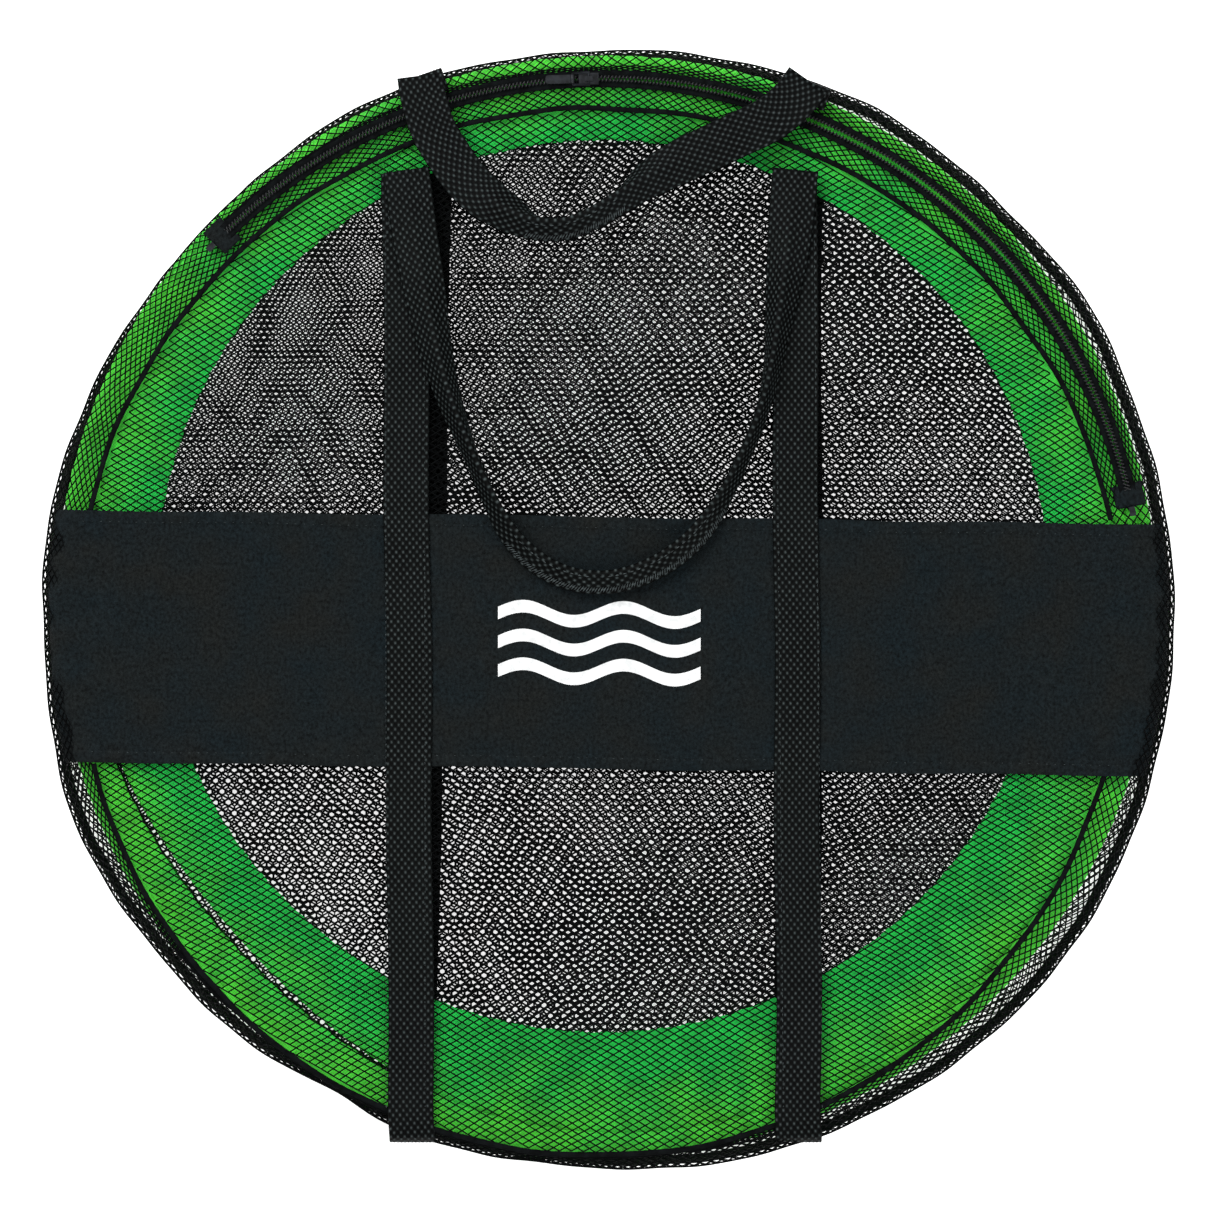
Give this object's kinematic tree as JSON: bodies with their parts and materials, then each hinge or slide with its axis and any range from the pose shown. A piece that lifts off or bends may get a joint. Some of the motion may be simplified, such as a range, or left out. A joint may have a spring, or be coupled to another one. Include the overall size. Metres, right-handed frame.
{
  "type": "folding crab trap",
  "caption": "Round hoop trap with green side net, folded flat inside a black net carry bag with a zipped mouth, a fabric band, webbing straps and handles.",
  "frame": {"origin": "middle of the underside of the bag, which lies on its back", "axes": "+Z out of the front panel, +Y towards the zipped mouth, +X to the bag's right-hand side as its front is read"},
  "size_m": [0.6219, 0.622, 0.0502],
  "materials": {
    "bag_net": "black knotless polyester net with open diamond meshes",
    "binding": "black folded binding tape",
    "sleeve": "green tape sleeve sewn round the wire",
    "band_cloth": "black plain-woven polyester cloth",
    "print_white": "white screen print",
    "thread": "black sewing thread",
    "zip_tape": "black woven zip tape",
    "zip_coil": "black nylon coil",
    "zip_metal": "black lacquered die casting and wire",
    "webbing": "black polypropylene webbing",
    "spring_steel": "drawn spring wire",
    "ferrule": "crimped steel tube",
    "trap_mesh": "black warp-knitted mesh with small round holes",
    "wall_net": "bright green knitted net",
    "clip_plastic": "black moulded plastic"
  },
  "bodies": {
    "bag": {"back_net_panel": "bag_net", "back_rim_binding": "binding", "side_wall_lower": "bag_net", "side_wall_mouth": "bag_net", "lip_lower": "bag_net", "lip_mouth_rim": "bag_net", "lip_mouth_front": "bag_net", "front_net_panel": "bag_net", "front_piping": "binding", "front_band": "band_cloth", "band_hem_top": "band_cloth", "band_hem_bottom": "band_cloth", "band_emblem": "print_white", "strap_tacks": "thread", "zip_tape_rim": "zip_tape", "zip_tape_front": "zip_tape", "zip_coil_rim": "zip_coil", "zip_coil_front": "zip_coil", "zip_stops": "zip_metal", "zip_end_tabs": "binding", "strap_front_left": "webbing", "strap_front_right": "webbing", "strap_back_left": "webbing", "strap_back_right": "webbing"},
    "zip_slider": {"zip_slider_body": "zip_metal", "zip_slider_bridge": "zip_metal"},
    "zip_pull": {"zip_pull_loop": "zip_metal", "zip_pull_tab": "zip_metal"},
    "front_handle": {"front_handle_webbing": "webbing", "front_handle_grip": "webbing"},
    "back_handle": {"back_handle_webbing": "webbing", "back_handle_grip": "webbing"},
    "trap_base": {"bottom_hoop": "spring_steel", "bottom_hoop_ferrule": "ferrule", "bottom_hoop_sleeve": "sleeve", "bottom_mesh_panel": "trap_mesh", "wall_net_lower": "wall_net", "bait_pouch": "trap_mesh", "bait_clip": "clip_plastic"},
    "trap_middle": {"middle_hoop": "spring_steel", "middle_hoop_ferrule": "ferrule", "middle_hoop_sleeve": "sleeve", "wall_net_upper": "wall_net", "entrance_left": "trap_mesh", "entrance_right": "trap_mesh"},
    "trap_top": {"top_hoop": "spring_steel", "top_hoop_ferrule": "ferrule", "top_hoop_sleeve": "sleeve", "top_mesh_panel": "trap_mesh"}
  },
  "joints": [
    {"name": "trap_out", "type": "slide", "parent": "bag", "child": "trap_base", "axis": [0, 1, 0], "range_m": [0, 0.78], "deforming": ["side_wall_lower", "side_wall_mouth", "lip_lower", "lip_mouth_rim", "lip_mouth_front", "front_net_panel", "front_piping", "front_band", "band_hem_top", "band_hem_bottom", "band_emblem", "strap_tacks", "zip_tape_rim", "zip_tape_front", "strap_front_left", "strap_front_right", "strap_back_left", "strap_back_right", "zip_coil_rim", "zip_coil_front", "zip_stops", "zip_end_tabs", "front_handle_webbing", "front_handle_grip", "back_handle_webbing", "back_handle_grip"]},
    {"name": "lower_wall_spread", "type": "slide", "parent": "trap_base", "child": "trap_middle", "axis": [0, 0, 1], "range_m": [0, 0.09], "deforming": ["wall_net_lower"]},
    {"name": "upper_wall_spread", "type": "slide", "parent": "trap_middle", "child": "trap_top", "axis": [0, 0, 1], "range_m": [0, 0.09], "deforming": ["wall_net_upper"]},
    {"name": "zip_slide", "type": "hinge", "parent": "bag", "child": "zip_slider", "pos_m": [-0.002, -0.007, 0.038], "axis": [0, 0, 1], "range_deg": [-78.3, 43.3]},
    {"name": "zip_pull_flip", "type": "hinge", "parent": "zip_slider", "child": "zip_pull", "pos_m": [-0.00986, 0.2931, 0.0419], "axis": [-0.0262, 0.9997, 0], "range_deg": [0, 170]},
    {"name": "front_handle_swing", "type": "hinge", "parent": "bag", "child": "front_handle", "pos_m": [0, 0.241, 0.0414], "axis": [-1, 0, 0], "range_deg": [0, 120]},
    {"name": "back_handle_swing", "type": "hinge", "parent": "bag", "child": "back_handle", "pos_m": [0, 0.29303, 0.046], "axis": [-1, 0, 0], "range_deg": [0, 180]}
  ],
  "couplings": [
    {"joint": "lower_wall_spread", "follows": "trap_out", "ratio": 0.11538},
    {"joint": "upper_wall_spread", "follows": "trap_out", "ratio": 0.11538}
  ]
}
